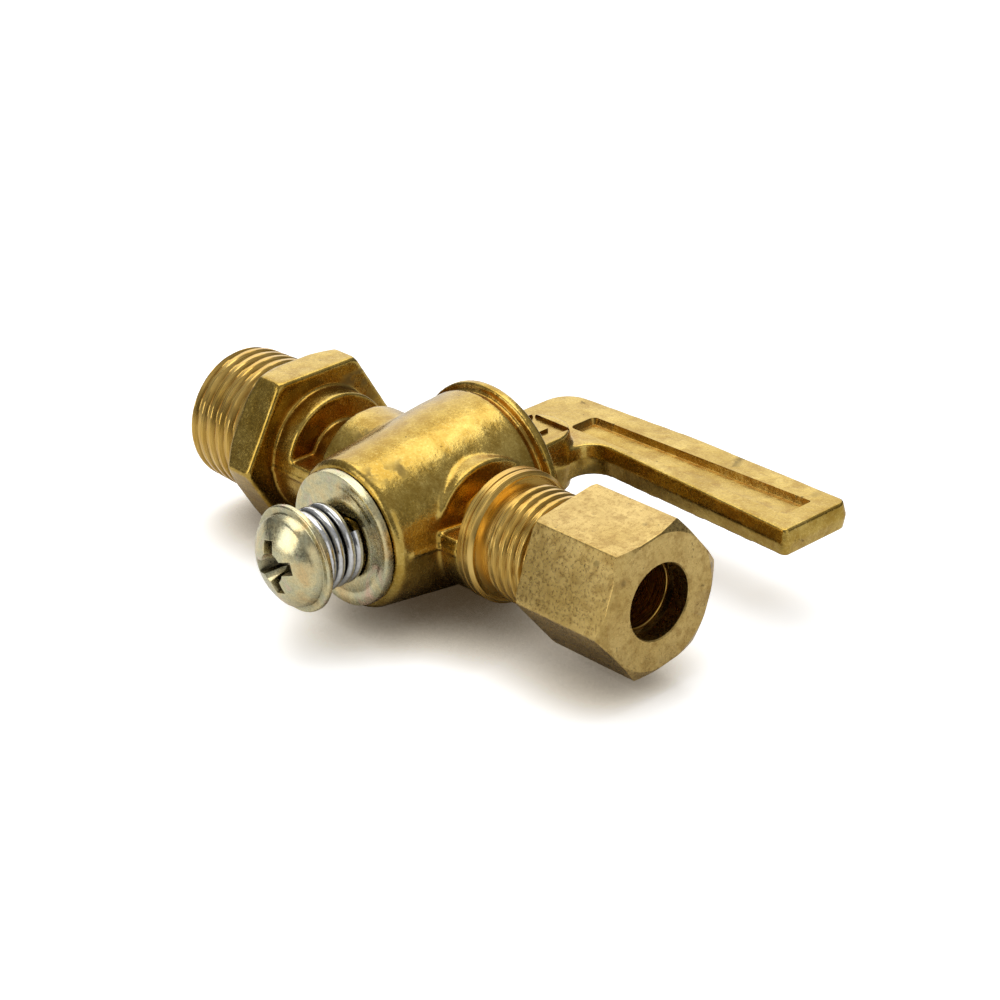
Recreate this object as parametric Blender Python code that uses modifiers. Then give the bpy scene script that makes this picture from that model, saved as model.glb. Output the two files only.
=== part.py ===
"""Ground-plug shut-off cock.

A forged brass body has a male pipe end with a hex at one side and a compression end at the other. A tapered plug
with an integral lever turns in its barrel. A washer, a coil spring and a screw pull the plug into its taper.

Metres, +Z up. The run lies along X, with the compression end at +X. The plug lies along Y, with the lever at +Y and
the screw at -Y. Every size below is measured from the point where those two axes cross.
"""

import math

import bmesh
import bpy
from mathutils import Matrix

MM = 0.001

# Body, along the run
PIPE_END = -28.8 * MM
PIPE_THREAD_START = -20.6 * MM
PIPE_THREAD_END_RADIUS = 6.63 * MM
PIPE_TAPER = 1 / 32
PIPE_CHAMFER = 0.8 * MM
HEX_NEAR = -16.0 * MM
HEX_FAR = -20.0 * MM
HEX_ACROSS_FLATS = 15.875 * MM
ARM_RADIUS = 6.1 * MM
TUBE_END = 23.4 * MM
TUBE_THREAD_RADIUS = 5.25 * MM
TUBE_THREAD_START = 13.1 * MM
COLLAR_FAR = 11.8 * MM
COLLAR_NEAR = 9.9 * MM
COLLAR_RADIUS = 6.2 * MM
UNDERCUT_RADIUS = 4.75 * MM

# Relief pockets in the upper half of both arms
POCKET_FLOOR = 1.2 * MM
POCKET_NECK_RADIUS = 3.5 * MM
PIPE_POCKET = (-13.5 * MM, -9.5 * MM)
TUBE_POCKET = (7.3 * MM, COLLAR_NEAR)

# Barrel, along the plug
RIM_RADIUS = 9.15 * MM
RIM_FACE = 7.4 * MM
RIM_WIDTH = 1.0 * MM
RIM_GROOVE_DEPTH = 0.35 * MM
BARREL_BIG_RADIUS = 8.75 * MM
BARREL_MIDDLE = (2.4 * MM, 8.5 * MM)
BARREL_SMALL_RADIUS = 7.1 * MM
BARREL_SMALL_FACE = -10.3 * MM
BARREL_EDGE_ROUND = 0.8 * MM

# Passages
RUN_BORE_RADIUS = 2.2 * MM
PIPE_BORE_RADIUS = 3.3 * MM
PIPE_BORE_DEPTH = 10.0 * MM
TUBE_BORE_RADIUS = 3.25 * MM
TUBE_STOP = 15.5 * MM
TUBE_CONE_DEPTH = 2.2 * MM
TUBE_CONE_RADIUS = 4.4 * MM

# Plug
PLUG_BIG_RADIUS = 6.2 * MM
PLUG_SMALL_RADIUS = 4.85 * MM
PLUG_SMALL_END = -10.0 * MM
PLUG_HEAD_END = 8.6 * MM
PLUG_CLEARANCE = 0.15 * MM
TAIL_END = -11.2 * MM
TAIL_RADIUS = 3.5 * MM
TAIL_ACROSS_FLATS = 5.0 * MM
TAPPED_HOLE_RADIUS = 2.4 * MM
TAPPED_HOLE_BOTTOM = -5.2 * MM

# Hub and lever
HUB_HALF_WIDTH = 3.9 * MM
HUB_HALF_HEIGHT = 2.8 * MM
HUB_CENTRE = 12.4 * MM
HUB_EDGE_ROUND = 0.7 * MM
LEVER_HALF_THICKNESS = 1.3 * MM
LEVER_TIP = 29.5 * MM
LEVER_TIP_NEAR = 14.9 * MM
LEVER_ROOT_NEAR = 16.6 * MM
LEVER_FAR = 24.0 * MM
LEVER_HEEL = -6.7 * MM
LEVER_EDGE_ROUND = 0.35 * MM
RECESS_NEAR = 17.9 * MM
RECESS_FAR = 21.0 * MM
RECESS_START = -2.0 * MM
RECESS_END = 27.2 * MM
RECESS_DEPTH = 0.45 * MM

# Washer, spring and screw
GAP = 0.3 * MM
WASHER_RADIUS = 6.4 * MM
WASHER_THICKNESS = 0.7 * MM
WIRE_RADIUS = 0.5 * MM
COIL_RADIUS = 3.38 * MM
SPRING_GAP = 0.1 * MM
SPRING_TURNS = 3.5
CLOSED_PITCH_SHARE = 0.75
SPRING_START_ANGLE = math.radians(35)
FLANGE_BACK = -16.0 * MM
FLANGE_THICKNESS = 0.7 * MM
FLANGE_RADIUS = 5.0 * MM
HEAD_RADIUS = 4.3 * MM
HEAD_SPHERE_RADIUS = 6.16 * MM
HEAD_APEX = -19.2 * MM
SHANK_RADIUS = 2.1 * MM
SHANK_END = -6.5 * MM
CROSS_LENGTH = 4.8 * MM
CROSS_WIDTH = 1.1 * MM
CROSS_DEPTH = 1.9 * MM
CROSS_ANGLE = math.radians(15)

# Compression nut and ferrule
NUT_BACK = 18.3 * MM
NUT_FRONT = 28.8 * MM
NUT_ACROSS_FLATS = 12.7 * MM
NUT_ANGLE = math.radians(8.4)
NUT_CHAMFER_LENGTH = 0.9 * MM
NUT_THREAD_RADIUS = 5.55 * MM
NUT_THREAD_END = 24.6 * MM
NUT_CONE_END = 27.0 * MM
NUT_BORE_RADIUS = 3.5 * MM
FERRULE_BACK = 22.4 * MM
FERRULE_FRONT = 26.4 * MM
FERRULE_RADIUS = 4.0 * MM
FERRULE_BORE_RADIUS = 3.25 * MM
FERRULE_NOSE = 1.0 * MM
FERRULE_LIP = 0.3 * MM

ROUND_STEPS = 48
SMALL_STEPS = 32

# The frame's origin is below the middle of the whole object, on the plane that it stands on.
CENTRE_X = (PIPE_END + LEVER_TIP) / 2
CENTRE_Y = (HEAD_APEX + LEVER_FAR) / 2
AXIS_HEIGHT = RIM_RADIUS

QUARTER = math.pi / 2
ALONG = {"X": (0.0, QUARTER, 0.0), "Y": (-QUARTER, 0.0, 0.0), "Z": (0.0, 0.0, 0.0)}


def clear_scene():
    for obj in list(bpy.data.objects):
        bpy.data.objects.remove(obj, do_unlink=True)


def new_collection(name):
    collection = bpy.data.collections.new(name)
    bpy.context.scene.collection.children.link(collection)
    return collection


def new_frame():
    """The empty that holds every piece, placed where the run's axis and the plug's axis cross."""
    frame = bpy.data.objects.new("axes_crossing", None)
    frame.location = (-CENTRE_X, -CENTRE_Y, AXIS_HEIGHT)
    parts.objects.link(frame)
    return frame


def metal(name, colour, roughness):
    material = bpy.data.materials.new(name)
    material.use_nodes = True
    shader = material.node_tree.nodes["Principled BSDF"]
    shader.inputs["Base Color"].default_value = (*colour, 1.0)
    shader.inputs["Metallic"].default_value = 1.0
    shader.inputs["Roughness"].default_value = roughness
    return material


def add_object(name, mesh, axis="Z", collection=None):
    """An object in the axes' frame, its local Z turned to lie along the axis. With no collection it is a part."""
    obj = bpy.data.objects.new(name, mesh)
    (collection or parts).objects.link(obj)
    obj.parent = crossing
    obj.rotation_euler = ALONG[axis]
    if collection is tools:
        obj.hide_render = True
        obj.display_type = "WIRE"
    return obj


def turned(name, profile, axis, steps=ROUND_STEPS, collection=None):
    """A turned solid. The profile lists (position along the axis, radius), from the highest position down its outer
    side. A profile that starts on the axis ends on it, and any other closes on itself and makes a ring."""
    mesh = bpy.data.meshes.new(name)
    points = [(radius, 0.0, position) for position, radius in profile]
    edges = [(i, i + 1) for i in range(len(points) - 1)]
    if profile[0][1] > 0.0:
        edges.append((len(points) - 1, 0))
    mesh.from_pydata(points, edges, [])
    obj = add_object(name, mesh, axis, collection)
    turn = obj.modifiers.new("turn", "SCREW")
    turn.axis = "Z"
    turn.angle = 2 * math.pi
    turn.steps = steps
    turn.render_steps = steps
    turn.use_merge_vertices = True
    turn.merge_threshold = 0.000001
    return obj


def extruded(name, outline, half_thickness, axis="Z", collection=None):
    """A flat outline made solid on both sides of its plane, as a mesh that can be cut."""
    curve = bpy.data.curves.new(name, "CURVE")
    curve.dimensions = "2D"
    curve.fill_mode = "BOTH"
    curve.extrude = half_thickness
    spline = curve.splines.new("POLY")
    spline.points.add(len(outline) - 1)
    for point, (x, y) in zip(spline.points, outline):
        point.co = (x, y, 0.0, 1.0)
    spline.use_cyclic_u = True
    source = bpy.data.objects.new(name, curve)
    bpy.context.scene.collection.objects.link(source)
    graph = bpy.context.evaluated_depsgraph_get()
    mesh = bpy.data.meshes.new_from_object(source.evaluated_get(graph))
    bpy.data.objects.remove(source, do_unlink=True)
    bpy.data.curves.remove(curve)
    shape = bmesh.new()
    shape.from_mesh(mesh)
    bmesh.ops.remove_doubles(shape, verts=shape.verts, dist=0.000001)
    bmesh.ops.recalc_face_normals(shape, faces=shape.faces)
    shape.to_mesh(mesh)
    shape.free()
    mesh.name = name
    return add_object(name, mesh, axis, collection)


def box(name, low, high, collection=None):
    """A box between two corners."""
    shape = bmesh.new()
    bmesh.ops.create_cube(shape, size=1.0)
    for vertex in shape.verts:
        for i in range(3):
            vertex.co[i] = low[i] if vertex.co[i] < 0 else high[i]
    mesh = bpy.data.meshes.new(name)
    shape.to_mesh(mesh)
    shape.free()
    return add_object(name, mesh, "Z", collection)


def hexagon(name, across_flats, near, far, angle, collection=None):
    """A hex prism along X, from one position to the other, with a corner at the angle from +Y towards +Z."""
    shape = bmesh.new()
    radius = across_flats / 2 / math.cos(math.pi / 6)
    bmesh.ops.create_cone(
        shape, cap_ends=True, segments=6, radius1=radius, radius2=radius, depth=abs(far - near)
    )
    shape.verts.ensure_lookup_table()
    corner = shape.verts[0].co
    # Local Y is the frame's Y, and local X is its -Z.
    turn = QUARTER + angle - math.atan2(corner.y, corner.x)
    bmesh.ops.rotate(shape, verts=shape.verts, matrix=Matrix.Rotation(turn, 3, "Z"))
    bmesh.ops.translate(shape, verts=shape.verts, vec=(0.0, 0.0, (near + far) / 2))
    mesh = bpy.data.meshes.new(name)
    shape.to_mesh(mesh)
    shape.free()
    return add_object(name, mesh, "X", collection)


def combine(target, tool, operation):
    step = target.modifiers.new(tool.name, "BOOLEAN")
    step.operation = operation
    step.solver = "EXACT"
    step.object = tool


def rounded(obj, width, segments=2):
    """Rounds the sharp edges that the object has at this point of its modifiers."""
    bevel = obj.modifiers.new("edges", "BEVEL")
    bevel.width = width
    bevel.segments = segments
    bevel.limit_method = "ANGLE"
    bevel.angle_limit = math.radians(40)


def arc(centre, radius, start, end, count):
    """Points on an arc, from one angle to the other, the angles in radians."""
    steps = [start + (end - start) * i / count for i in range(count + 1)]
    return [(centre[0] + radius * math.cos(a), centre[1] + radius * math.sin(a)) for a in steps]


def round_corners(corners, count=4):
    """An outline with each (x, y, radius) corner replaced by an arc that is tangent to both of its sides."""
    outline = []
    for i, (x, y, radius) in enumerate(corners):
        before = corners[i - 1]
        after = corners[(i + 1) % len(corners)]
        back = unit(before[0] - x, before[1] - y)
        ahead = unit(after[0] - x, after[1] - y)
        half = math.acos(back[0] * ahead[0] + back[1] * ahead[1]) / 2
        middle = unit(back[0] + ahead[0], back[1] + ahead[1])
        reach = radius / math.sin(half)
        centre = (x + middle[0] * reach, y + middle[1] * reach)
        run = radius / math.tan(half)
        first = (x + back[0] * run - centre[0], y + back[1] * run - centre[1])
        last = (x + ahead[0] * run - centre[0], y + ahead[1] * run - centre[1])
        start = math.atan2(first[1], first[0])
        sweep = math.atan2(last[1], last[0]) - start
        sweep = (sweep + math.pi) % (2 * math.pi) - math.pi
        outline += arc(centre, radius, start, start + sweep, count)
    return outline


def unit(x, y):
    length = math.hypot(x, y)
    return (x / length, y / length)


def double_flat(radius, across_flats, count=8):
    """The outline of a round bar with two flats, which face local +Y and -Y."""
    flat = math.asin(across_flats / 2 / radius)
    right = arc((0.0, 0.0), radius, -flat, flat, count)
    left = arc((0.0, 0.0), radius, math.pi - flat, math.pi + flat, count)
    return right + left


def finish(obj, material):
    """Gives a part its material and smooth shading with sharp corners."""
    obj.data.materials.append(material)
    if obj.data.polygons:
        obj.data.shade_smooth()
        obj.data.set_sharp_from_angle(angle=math.radians(30))
    return obj


def pipe_radius(position):
    return PIPE_THREAD_END_RADIUS + (position - PIPE_END) * PIPE_TAPER


def plug_radius(position):
    share = (position - PLUG_SMALL_END) / (RIM_FACE - PLUG_SMALL_END)
    return PLUG_SMALL_RADIUS + (PLUG_BIG_RADIUS - PLUG_SMALL_RADIUS) * share


def make_run():
    """Both arms with their threads' blanks, the collar and the undercut behind it."""
    chamfer = 0.5 * MM
    chamfer_start = PIPE_END + PIPE_CHAMFER
    profile = [
        (TUBE_END, 0.0),
        (TUBE_END, TUBE_THREAD_RADIUS - chamfer),
        (TUBE_END - chamfer, TUBE_THREAD_RADIUS),
        (TUBE_THREAD_START, TUBE_THREAD_RADIUS),
        (TUBE_THREAD_START - chamfer, UNDERCUT_RADIUS),
        (COLLAR_FAR, UNDERCUT_RADIUS),
        (COLLAR_FAR, COLLAR_RADIUS),
        (COLLAR_NEAR, COLLAR_RADIUS),
        (COLLAR_NEAR, ARM_RADIUS),
        (HEX_FAR, ARM_RADIUS),
        (PIPE_THREAD_START, pipe_radius(PIPE_THREAD_START)),
        (chamfer_start, pipe_radius(chamfer_start)),
        (PIPE_END, pipe_radius(PIPE_END) - PIPE_CHAMFER),
        (PIPE_END, 0.0),
    ]
    return turned("valve_body", profile, "X")


def make_pocket(name, span):
    """The cutter of one relief pocket: everything above its floor that is outside the neck."""
    reach = 1.5 * ARM_RADIUS
    block = box(name, (span[0], -reach, POCKET_FLOOR), (span[1], reach, reach), tools)
    margin = 1.0 * MM
    profile = [
        (span[1] + margin, 0.0),
        (span[1] + margin, POCKET_NECK_RADIUS),
        (span[0] - margin, POCKET_NECK_RADIUS),
        (span[0] - margin, 0.0),
    ]
    neck = turned(name + "_neck", profile, "X", SMALL_STEPS, tools)
    combine(block, neck, "DIFFERENCE")
    return block


def make_barrel():
    """The barrel's outside: a cone with a grooved rim at its big end and a rounded small end."""
    rim_start = RIM_FACE - RIM_WIDTH
    rim_chamfer = 0.25 * MM
    groove_width = 0.5 * MM
    edge_centre = (BARREL_SMALL_FACE + BARREL_EDGE_ROUND, BARREL_SMALL_RADIUS - BARREL_EDGE_ROUND)
    profile = [
        (RIM_FACE, 0.0),
        (RIM_FACE, RIM_RADIUS - rim_chamfer),
        (RIM_FACE - rim_chamfer, RIM_RADIUS),
        (rim_start, RIM_RADIUS),
        (rim_start, BARREL_BIG_RADIUS - RIM_GROOVE_DEPTH),
        (rim_start - groove_width, BARREL_BIG_RADIUS - RIM_GROOVE_DEPTH),
        (rim_start - 1.5 * groove_width, BARREL_BIG_RADIUS),
        BARREL_MIDDLE,
        *arc(edge_centre, BARREL_EDGE_ROUND, QUARTER, math.pi, 4),
        (BARREL_SMALL_FACE, 0.0),
    ]
    return turned("barrel_outside", profile, "Y", ROUND_STEPS, tools)


def make_passages():
    """Cutters: the stepped bore along the run, and the tapered hole for the plug."""
    margin = 1.0 * MM
    cone_slope = (TUBE_CONE_RADIUS - TUBE_BORE_RADIUS) / TUBE_CONE_DEPTH
    pipe_step = PIPE_END + PIPE_BORE_DEPTH
    run = [
        (TUBE_END + margin, 0.0),
        (TUBE_END + margin, TUBE_CONE_RADIUS + margin * cone_slope),
        (TUBE_END - TUBE_CONE_DEPTH, TUBE_BORE_RADIUS),
        (TUBE_STOP, TUBE_BORE_RADIUS),
        (TUBE_STOP, RUN_BORE_RADIUS),
        (pipe_step, RUN_BORE_RADIUS),
        (pipe_step - margin, PIPE_BORE_RADIUS),
        (PIPE_END - margin, PIPE_BORE_RADIUS),
        (PIPE_END - margin, 0.0),
    ]
    far = RIM_FACE + margin
    near = BARREL_SMALL_FACE - margin
    hole = [
        (far, 0.0),
        (far, plug_radius(far) + PLUG_CLEARANCE),
        (near, plug_radius(near) + PLUG_CLEARANCE),
        (near, 0.0),
    ]
    run_bore = turned("run_bore", run, "X", SMALL_STEPS, tools)
    plug_hole = turned("plug_hole", hole, "Y", ROUND_STEPS, tools)
    return run_bore, plug_hole


def make_valve_body(material):
    body = make_run()
    combine(body, make_pocket("pipe_pocket", PIPE_POCKET), "DIFFERENCE")
    combine(body, make_pocket("tube_pocket", TUBE_POCKET), "DIFFERENCE")
    combine(body, make_barrel(), "UNION")
    hex_block = hexagon("body_hex", HEX_ACROSS_FLATS, HEX_NEAR, HEX_FAR, 0.0, tools)
    rounded(hex_block, 0.6 * MM)
    combine(body, hex_block, "UNION")
    for passage in make_passages():
        combine(body, passage, "DIFFERENCE")
    return finish(body, material)


def make_plug_blank():
    """The tapered plug from its head to its small end, with the full tail length that the flats are cut from."""
    chamfer = 0.4 * MM
    profile = [
        (PLUG_HEAD_END, 0.0),
        (PLUG_HEAD_END, PLUG_BIG_RADIUS - 2 * chamfer),
        (PLUG_HEAD_END - chamfer, PLUG_BIG_RADIUS - chamfer),
        (RIM_FACE, PLUG_BIG_RADIUS),
        (PLUG_SMALL_END, PLUG_SMALL_RADIUS),
        (PLUG_SMALL_END, 0.0),
    ]
    return turned("plug_lever", profile, "Y")


def make_hub():
    """The flat-topped hub between the plug's head and the lever, with a half-round far end."""
    start = PLUG_HEAD_END - 1.0 * MM
    outline = [(-HUB_HALF_WIDTH, start), (HUB_HALF_WIDTH, start)]
    outline += arc((0.0, HUB_CENTRE), HUB_HALF_WIDTH, 0.0, math.pi, 12)
    hub = extruded("hub", outline, HUB_HALF_HEIGHT, "Z", tools)
    rounded(hub, HUB_EDGE_ROUND)
    return hub


def make_lever_plate():
    """The flat lever: narrower at the hub, square at the tip, with a rounded heel behind the hub."""
    corners = [
        (-HUB_HALF_WIDTH, 11.6 * MM, 0.5 * MM),
        (HUB_HALF_WIDTH, 11.6 * MM, 0.5 * MM),
        (HUB_HALF_WIDTH, LEVER_ROOT_NEAR, 2.0 * MM),
        (LEVER_TIP, LEVER_TIP_NEAR, 0.8 * MM),
        (LEVER_TIP, LEVER_FAR - 0.3 * MM, 1.2 * MM),
        (10.0 * MM, LEVER_FAR, 30.0 * MM),
        (LEVER_HEEL, LEVER_FAR - 0.8 * MM, 3.0 * MM),
        (LEVER_HEEL, 16.8 * MM, 1.5 * MM),
    ]
    plate = extruded("lever_plate", round_corners(corners), LEVER_HALF_THICKNESS, "Z", tools)
    rounded(plate, LEVER_EDGE_ROUND)
    return plate


def make_recess(name, side):
    """The cutter of the long recess in one broad face of the lever, side being 1 above and -1 below."""
    corners = [
        (RECESS_START, RECESS_NEAR - 0.3 * MM, 0.8 * MM),
        (RECESS_END, RECESS_NEAR, 0.8 * MM),
        (RECESS_END, RECESS_FAR, 0.8 * MM),
        (RECESS_START, RECESS_FAR - 0.6 * MM, 0.8 * MM),
    ]
    recess = extruded(name, round_corners(corners), RECESS_DEPTH, "Z", tools)
    recess.location.z = side * LEVER_HALF_THICKNESS
    return recess


def make_plug_lever(material):
    plug = make_plug_blank()
    tail_length = PLUG_SMALL_END - TAIL_END + 1.0 * MM
    tail = extruded("tail", double_flat(TAIL_RADIUS, TAIL_ACROSS_FLATS), tail_length / 2, "Y", tools)
    tail.location.y = TAIL_END + tail_length / 2
    combine(plug, tail, "UNION")
    combine(plug, make_hub(), "UNION")
    combine(plug, make_lever_plate(), "UNION")
    for name, side in (("upper_recess", 1), ("lower_recess", -1)):
        combine(plug, make_recess(name, side), "DIFFERENCE")
    margin = 1.0 * MM
    port = [
        (2 * PLUG_BIG_RADIUS, 0.0),
        (2 * PLUG_BIG_RADIUS, RUN_BORE_RADIUS),
        (-2 * PLUG_BIG_RADIUS, RUN_BORE_RADIUS),
        (-2 * PLUG_BIG_RADIUS, 0.0),
    ]
    tapped = [
        (TAPPED_HOLE_BOTTOM, 0.0),
        (TAPPED_HOLE_BOTTOM - margin, TAPPED_HOLE_RADIUS),
        (TAIL_END - margin, TAPPED_HOLE_RADIUS),
        (TAIL_END - margin, 0.0),
    ]
    combine(plug, turned("plug_port", port, "X", SMALL_STEPS, tools), "DIFFERENCE")
    combine(plug, turned("tapped_hole", tapped, "Y", SMALL_STEPS, tools), "DIFFERENCE")
    return finish(plug, material)


def make_plug_washer(material):
    back = BARREL_SMALL_FACE - GAP
    front = back - WASHER_THICKNESS
    edge = 0.15 * MM
    profile = [
        (back, 0.0),
        (back, WASHER_RADIUS - edge),
        (back - edge, WASHER_RADIUS),
        (front + edge, WASHER_RADIUS),
        (front, WASHER_RADIUS - edge),
        (front, 0.0),
    ]
    washer = turned("plug_washer", profile, "Y")
    keyhole = double_flat(TAIL_RADIUS + GAP, TAIL_ACROSS_FLATS + 2 * GAP)
    cutter = extruded("washer_keyhole", keyhole, 2 * WASHER_THICKNESS, "Y", tools)
    cutter.location.y = (back + front) / 2
    combine(washer, cutter, "DIFFERENCE")
    return finish(washer, material)


def spring_rise(share):
    """How far along its height the wire is, after this share of its turns: slower in both closed end coils."""
    wave = math.sin(2 * math.pi * share) / (2 * math.pi)
    return share - (1 - CLOSED_PITCH_SHARE) * wave


def make_plug_spring(material):
    """A left-hand coil from the washer to the screw's flange."""
    washer_front = BARREL_SMALL_FACE - GAP - WASHER_THICKNESS
    start = washer_front - SPRING_GAP - WIRE_RADIUS
    end = FLANGE_BACK + SPRING_GAP + WIRE_RADIUS
    count = int(16 * SPRING_TURNS)
    curve = bpy.data.curves.new("plug_spring", "CURVE")
    curve.dimensions = "3D"
    curve.bevel_depth = WIRE_RADIUS
    curve.bevel_resolution = 2
    curve.use_fill_caps = True
    spline = curve.splines.new("POLY")
    spline.points.add(count)
    for i, point in enumerate(spline.points):
        share = i / count
        angle = SPRING_START_ANGLE - 2 * math.pi * SPRING_TURNS * share
        height = start + (end - start) * spring_rise(share)
        point.co = (COIL_RADIUS * math.cos(angle), height, COIL_RADIUS * math.sin(angle), 1.0)
    curve.materials.append(material)
    return add_object("plug_spring", curve)


def make_plug_screw(material):
    """A pan washer-head screw: shank, flange and a domed head with a cross recess."""
    flange_front = FLANGE_BACK - FLANGE_THICKNESS
    edge = 0.15 * MM
    centre = HEAD_APEX + HEAD_SPHERE_RADIUS
    dome_angle = math.asin(HEAD_RADIUS / HEAD_SPHERE_RADIUS)
    count = 7
    dome = [
        (
            centre - HEAD_SPHERE_RADIUS * math.cos(dome_angle * (1 - i / count)),
            HEAD_SPHERE_RADIUS * math.sin(dome_angle * (1 - i / count)),
        )
        for i in range(count + 1)
    ]
    profile = [
        (SHANK_END, 0.0),
        (SHANK_END, SHANK_RADIUS - 2 * edge),
        (SHANK_END - 2 * edge, SHANK_RADIUS),
        (FLANGE_BACK, SHANK_RADIUS),
        (FLANGE_BACK, FLANGE_RADIUS - edge),
        (FLANGE_BACK - edge, FLANGE_RADIUS),
        (flange_front + edge, FLANGE_RADIUS),
        (flange_front, FLANGE_RADIUS - edge),
        (flange_front, HEAD_RADIUS),
        *dome,
    ]
    screw = turned("plug_screw", profile, "Y", SMALL_STEPS)
    for name, angle in (("cross_arm_a", CROSS_ANGLE), ("cross_arm_b", CROSS_ANGLE + QUARTER)):
        low = (-CROSS_LENGTH / 2, HEAD_APEX - 1.0 * MM, -CROSS_WIDTH / 2)
        high = (CROSS_LENGTH / 2, HEAD_APEX + CROSS_DEPTH, CROSS_WIDTH / 2)
        arm = box(name, low, high, tools)
        arm.rotation_euler.y = -angle
        combine(screw, arm, "DIFFERENCE")
    return finish(screw, material)


def make_compression_nut(material):
    """A hex nut with a chamfered front, a thread blank from the back, and a cone down to the tube's hole."""
    nut = hexagon("compression_nut", NUT_ACROSS_FLATS, NUT_BACK, NUT_FRONT, NUT_ANGLE)
    corner = NUT_ACROSS_FLATS / 2 / math.cos(math.pi / 6)
    flat = NUT_ACROSS_FLATS / 2
    back_chamfer = 0.3 * MM
    margin = 0.2 * MM
    envelope = [
        (NUT_FRONT, 0.0),
        (NUT_FRONT, flat),
        (NUT_FRONT - NUT_CHAMFER_LENGTH, corner + margin),
        (NUT_BACK + back_chamfer, corner + margin),
        (NUT_BACK, flat + margin),
        (NUT_BACK, 0.0),
    ]
    margin = 1.0 * MM
    passage = [
        (NUT_FRONT + margin, 0.0),
        (NUT_FRONT + margin, NUT_BORE_RADIUS),
        (NUT_CONE_END, NUT_BORE_RADIUS),
        (NUT_THREAD_END, NUT_THREAD_RADIUS),
        (NUT_BACK - margin, NUT_THREAD_RADIUS),
        (NUT_BACK - margin, 0.0),
    ]
    combine(nut, turned("nut_envelope", envelope, "X", ROUND_STEPS, tools), "INTERSECT")
    combine(nut, turned("nut_passage", passage, "X", SMALL_STEPS, tools), "DIFFERENCE")
    return finish(nut, material)


def make_ferrule(material):
    """A sleeve tapered at both ends."""
    profile = [
        (FERRULE_FRONT, FERRULE_BORE_RADIUS),
        (FERRULE_FRONT, FERRULE_BORE_RADIUS + FERRULE_LIP),
        (FERRULE_FRONT - FERRULE_NOSE, FERRULE_RADIUS),
        (FERRULE_BACK + FERRULE_NOSE, FERRULE_RADIUS),
        (FERRULE_BACK, FERRULE_BORE_RADIUS + FERRULE_LIP),
        (FERRULE_BACK, FERRULE_BORE_RADIUS),
    ]
    return finish(turned("ferrule", profile, "X", SMALL_STEPS), material)


clear_scene()
parts = new_collection("ground_plug_cock")
tools = new_collection("cutters")
crossing = new_frame()

forged_brass = metal("forged_brass", (0.60, 0.45, 0.17), 0.35)
turned_brass = metal("turned_brass", (0.66, 0.50, 0.24), 0.30)
yellow_zinc = metal("yellow_zinc", (0.62, 0.58, 0.42), 0.30)
bright_zinc = metal("bright_zinc", (0.75, 0.76, 0.77), 0.22)

make_valve_body(forged_brass)
make_plug_lever(forged_brass)
make_plug_washer(yellow_zinc)
make_plug_spring(bright_zinc)
make_plug_screw(yellow_zinc)
make_compression_nut(turned_brass)
make_ferrule(turned_brass)
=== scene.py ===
"""Ground-plug shut-off cock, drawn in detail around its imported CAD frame.

Every piece is made in the axes' frame: the run along X and the plug along Y, crossing at the origin, with
the lever at +Y and the screw at -Y. Each one is then moved to where those axes cross in the CAD frame.
Lengths are in metres.
"""

import math

import bmesh
import bpy
import numpy as np
from mathutils import Matrix, Vector


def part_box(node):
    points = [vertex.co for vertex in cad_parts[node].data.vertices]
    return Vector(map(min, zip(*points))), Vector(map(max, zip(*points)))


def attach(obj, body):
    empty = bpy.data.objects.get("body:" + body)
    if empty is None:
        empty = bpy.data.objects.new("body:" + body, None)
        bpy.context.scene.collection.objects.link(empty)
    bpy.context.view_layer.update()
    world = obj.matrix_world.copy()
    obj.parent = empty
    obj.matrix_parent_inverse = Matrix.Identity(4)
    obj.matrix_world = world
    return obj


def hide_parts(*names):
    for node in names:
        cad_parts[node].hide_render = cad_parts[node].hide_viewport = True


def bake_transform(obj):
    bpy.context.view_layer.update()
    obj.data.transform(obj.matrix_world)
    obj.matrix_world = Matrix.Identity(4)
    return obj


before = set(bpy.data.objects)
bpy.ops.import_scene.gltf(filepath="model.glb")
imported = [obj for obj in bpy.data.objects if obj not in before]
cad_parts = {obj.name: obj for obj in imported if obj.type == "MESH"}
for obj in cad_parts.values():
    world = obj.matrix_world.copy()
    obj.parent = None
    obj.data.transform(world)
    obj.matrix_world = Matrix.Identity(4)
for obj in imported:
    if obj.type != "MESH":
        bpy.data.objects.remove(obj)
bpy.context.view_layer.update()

MM = 0.001
TURN = 2 * math.pi
QUARTER = math.pi / 2

# Places along the run (X)
PIPE_END = -28.8 * MM
PIPE_THREAD_START = -20.3 * MM
PIPE_THREAD_PITCH = 25.4 / 18 * MM
PIPE_THREAD_DEPTH = 0.40 * MM
PIPE_END_RADIUS = 6.63 * MM
PIPE_TAPER = 1 / 32
HEX_FAR = -20.0 * MM
HEX_NEAR = -16.0 * MM
HEX_ACROSS_FLATS = 15.875 * MM
ARM_RADIUS = 6.1 * MM
PIPE_POCKET = (-13.5 * MM, -9.5 * MM)
TUBE_POCKET = (7.3 * MM, 9.9 * MM)
POCKET_FLOOR = 1.25 * MM
POCKET_NECK_RADIUS = 3.5 * MM
COLLAR_FAR = 11.8 * MM
COLLAR_RADIUS = 6.2 * MM
UNDERCUT_RADIUS = 4.95 * MM
TUBE_THREAD_START = 13.1 * MM
TUBE_THREAD_RADIUS = 5.45 * MM
TUBE_THREAD_PITCH = 25.4 / 24 * MM
TUBE_THREAD_DEPTH = 0.32 * MM
TUBE_END = 23.4 * MM
TUBE_STOP = 15.5 * MM
TUBE_BORE_RADIUS = 3.25 * MM
TUBE_CONE_RADIUS = 4.4 * MM
TUBE_CONE_DEPTH = 2.2 * MM
RUN_BORE_RADIUS = 2.2 * MM
PIPE_BORE_RADIUS = 3.3 * MM
PIPE_BORE_DEPTH = 10.0 * MM

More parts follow.
